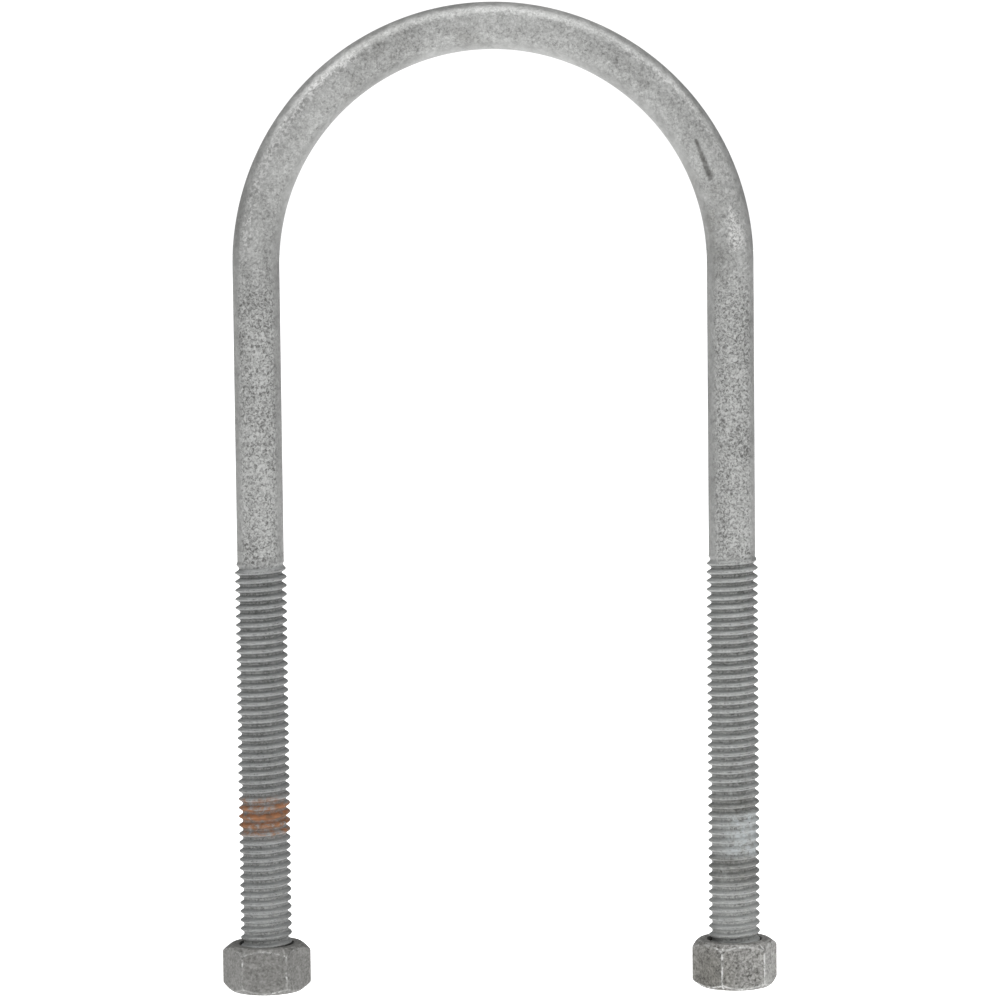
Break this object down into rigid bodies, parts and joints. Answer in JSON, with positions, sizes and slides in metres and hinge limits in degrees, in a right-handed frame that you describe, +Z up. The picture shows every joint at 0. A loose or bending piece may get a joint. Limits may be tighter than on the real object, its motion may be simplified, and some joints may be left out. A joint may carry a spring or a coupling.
{
  "type": "u-bolt",
  "caption": "Round-bend U-bolt of galvanised steel rod with long threaded legs and a hex nut on each, for clamping a pipe or tube to a plate.",
  "frame": {"origin": "centre of the bend, on the axis of the pipe that the bend holds", "axes": "+Z up from the legs towards the top of the bend, +X from the left leg to the right leg, Y along the pipe's axis"},
  "size_m": [0.1017, 0.015, 0.1792],
  "materials": {
    "rod_zinc": "hot-dip galvanised steel, dull mottled grey zinc, with a light rust stain on the left thread and a pale zinc run on the right one",
    "nut_zinc": "hot-dip galvanised steel, dull brownish grey, rubbed bright along its corners"
  },
  "bodies": {
    "rod": {"bent_rod": "rod_zinc"},
    "left_thread": {"left_nut_thread": "nut_zinc"},
    "left_nut": {"left_nut": "nut_zinc"},
    "right_thread": {"right_nut_thread": "nut_zinc"},
    "right_nut": {"right_nut": "nut_zinc"}
  },
  "joints": [
    {"name": "left_nut_travel", "type": "slide", "parent": "rod", "child": "left_thread", "axis": [0, 0, 1], "range_m": [-0.00873, 0.06667]},
    {"name": "left_nut_turn", "type": "hinge", "parent": "left_thread", "child": "left_nut", "pos_m": [-0.0428, 0, -0.1231], "axis": [0, 0, 1], "range_deg": [-1980, 15120]},
    {"name": "right_nut_travel", "type": "slide", "parent": "rod", "child": "right_thread", "axis": [0, 0, 1], "range_m": [-0.00873, 0.06667]},
    {"name": "right_nut_turn", "type": "hinge", "parent": "right_thread", "child": "right_nut", "pos_m": [0.0428, 0, -0.12375], "axis": [0, 0, 1], "range_deg": [-1980, 15120]}
  ],
  "couplings": [
    {"joint": "left_nut_travel", "follows": "left_nut_turn", "m_per_rad": 0.00025266},
    {"joint": "right_nut_travel", "follows": "right_nut_turn", "m_per_rad": 0.00025266}
  ]
}
